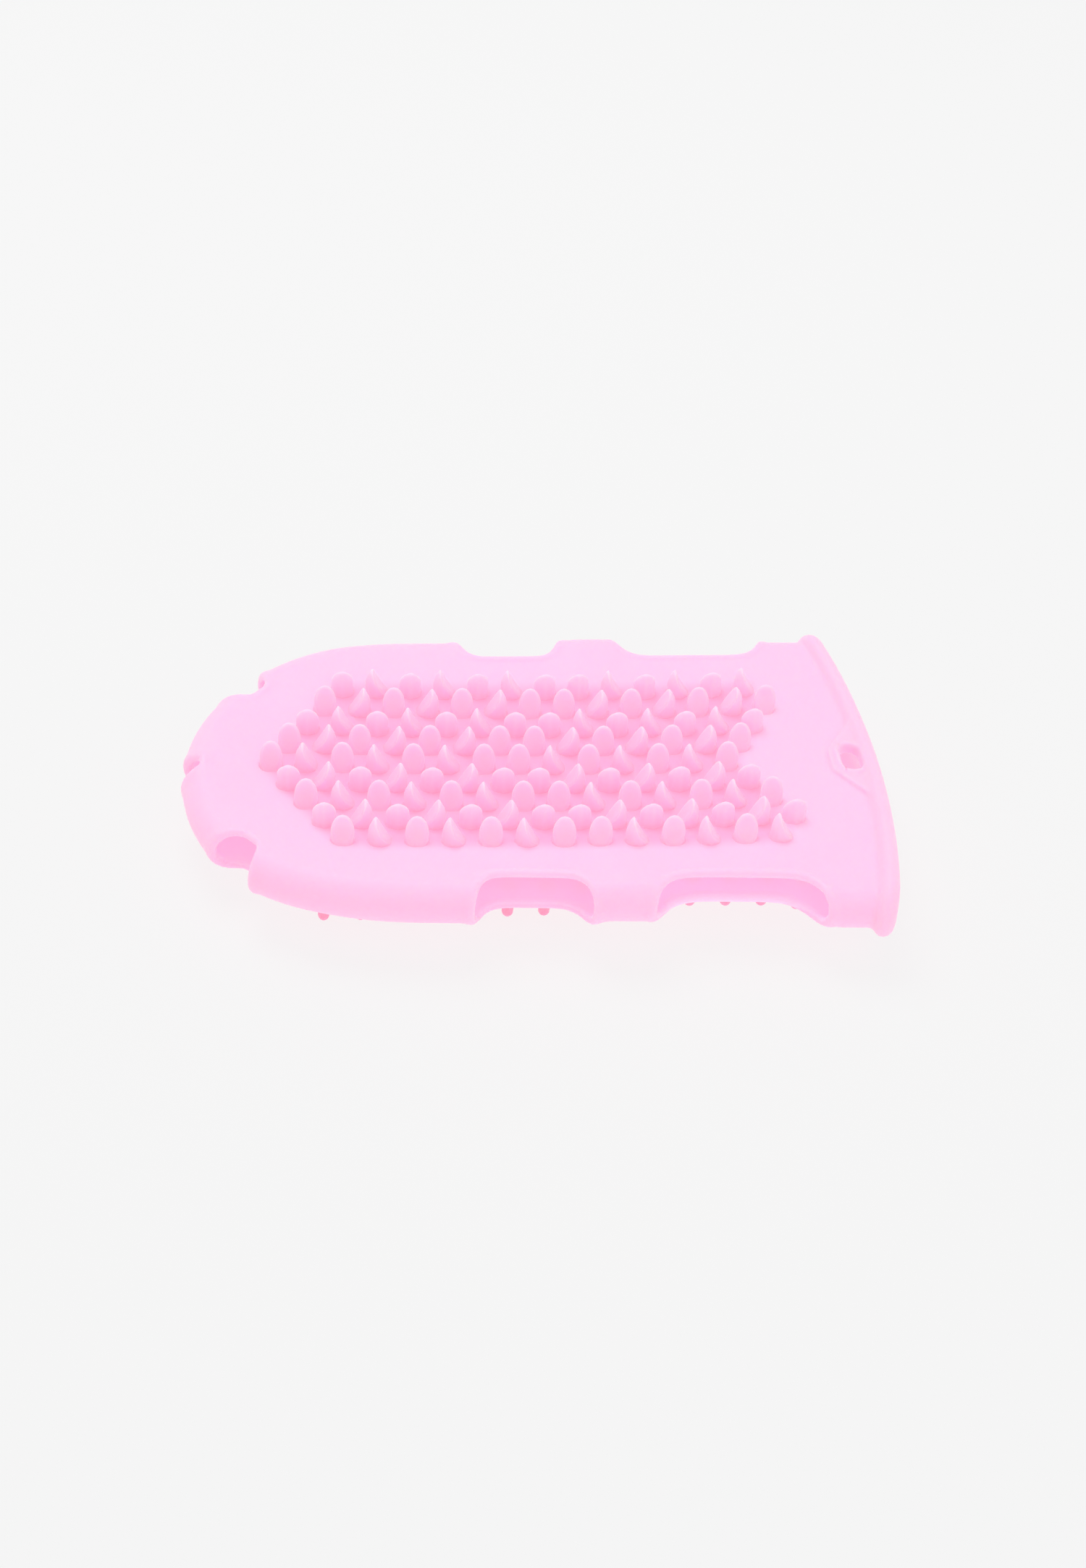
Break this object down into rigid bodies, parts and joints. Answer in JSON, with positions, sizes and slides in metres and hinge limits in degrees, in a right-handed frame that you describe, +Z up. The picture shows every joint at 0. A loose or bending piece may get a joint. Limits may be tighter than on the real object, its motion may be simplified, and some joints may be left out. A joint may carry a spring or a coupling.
{
  "type": "silicone grooming glove",
  "caption": "Reversible silicone grooming mitt: open cuff with hang tab, hollow hand pocket with side windows, claw-shaped massage pegs on one face and fine bristles on the other.",
  "frame": {"origin": "middle of the footprint, at the tips of the bristles that the glove lies on", "axes": "+X towards the open cuff, +Z up through the massage pegs, Y across the hand with Y = 0 the plane of symmetry"},
  "size_m": [0.2188, 0.1448, 0.029],
  "materials": {
    "silicone_skin": "satin translucent silicone",
    "silicone_rim": "satin translucent silicone",
    "silicone_pegs": "satin translucent silicone",
    "silicone_bristles": "satin translucent silicone"
  },
  "bodies": {
    "palm_section": {"bristles_palm_left": "silicone_bristles", "bristles_palm_middle": "silicone_bristles", "bristles_palm_right": "silicone_bristles", "cuff_bead_bottom": "silicone_rim", "cuff_bead_left": "silicone_rim", "cuff_bead_right": "silicone_rim", "cuff_bead_top": "silicone_rim", "cuff_wall_left": "silicone_skin", "cuff_wall_right": "silicone_skin", "flex_bristles": "silicone_bristles", "flex_pegs": "silicone_pegs", "flex_rims": "silicone_rim", "flex_sheet_bottom": "silicone_skin", "flex_sheet_top": "silicone_skin", "hang_tab": "silicone_rim", "knuckle_rims_palm": "silicone_rim", "massage_pegs_palm_row_1": "silicone_pegs", "massage_pegs_palm_row_2": "silicone_pegs", "massage_pegs_palm_row_3": "silicone_pegs", "massage_pegs_palm_row_4": "silicone_pegs", "massage_pegs_palm_row_5": "silicone_pegs", "massage_pegs_palm_row_6": "silicone_pegs", "massage_pegs_palm_row_7": "silicone_pegs", "massage_pegs_palm_row_8": "silicone_pegs", "massage_pegs_palm_row_9": "silicone_pegs", "mid_bridge_left": "silicone_skin", "mid_bridge_right": "silicone_skin", "palm_sheet_bottom": "silicone_skin", "palm_sheet_top": "silicone_skin", "thumb_window_rims": "silicone_rim"},
    "finger_section": {"bristles_finger_left": "silicone_bristles", "bristles_finger_middle": "silicone_bristles", "bristles_finger_right": "silicone_bristles", "corner_rims": "silicone_rim", "finger_sheet_bottom": "silicone_skin", "finger_sheet_top": "silicone_skin", "finger_wall_left": "silicone_skin", "finger_wall_right": "silicone_skin", "knuckle_rims_finger": "silicone_rim", "massage_pegs_finger_row_1": "silicone_pegs", "massage_pegs_finger_row_2": "silicone_pegs", "massage_pegs_finger_row_3": "silicone_pegs", "massage_pegs_finger_row_4": "silicone_pegs", "massage_pegs_finger_row_5": "silicone_pegs", "massage_pegs_finger_row_6": "silicone_pegs", "massage_pegs_finger_row_7": "silicone_pegs", "massage_pegs_finger_row_8": "silicone_pegs", "massage_pegs_finger_row_9": "silicone_pegs", "nose_rims": "silicone_rim", "nose_wall_left": "silicone_skin", "nose_wall_right": "silicone_skin"}
  },
  "joints": [
    {"name": "finger_flex", "type": "hinge", "parent": "palm_section", "child": "finger_section", "pos_m": [-0.0045, 0, 0.0165], "axis": [0, 1, 0], "range_deg": [-35, 35], "stiffness_Nm_per_rad": 0.3, "deforming": ["flex_sheet_top", "flex_sheet_bottom", "flex_rims", "flex_pegs", "flex_bristles"]}
  ]
}
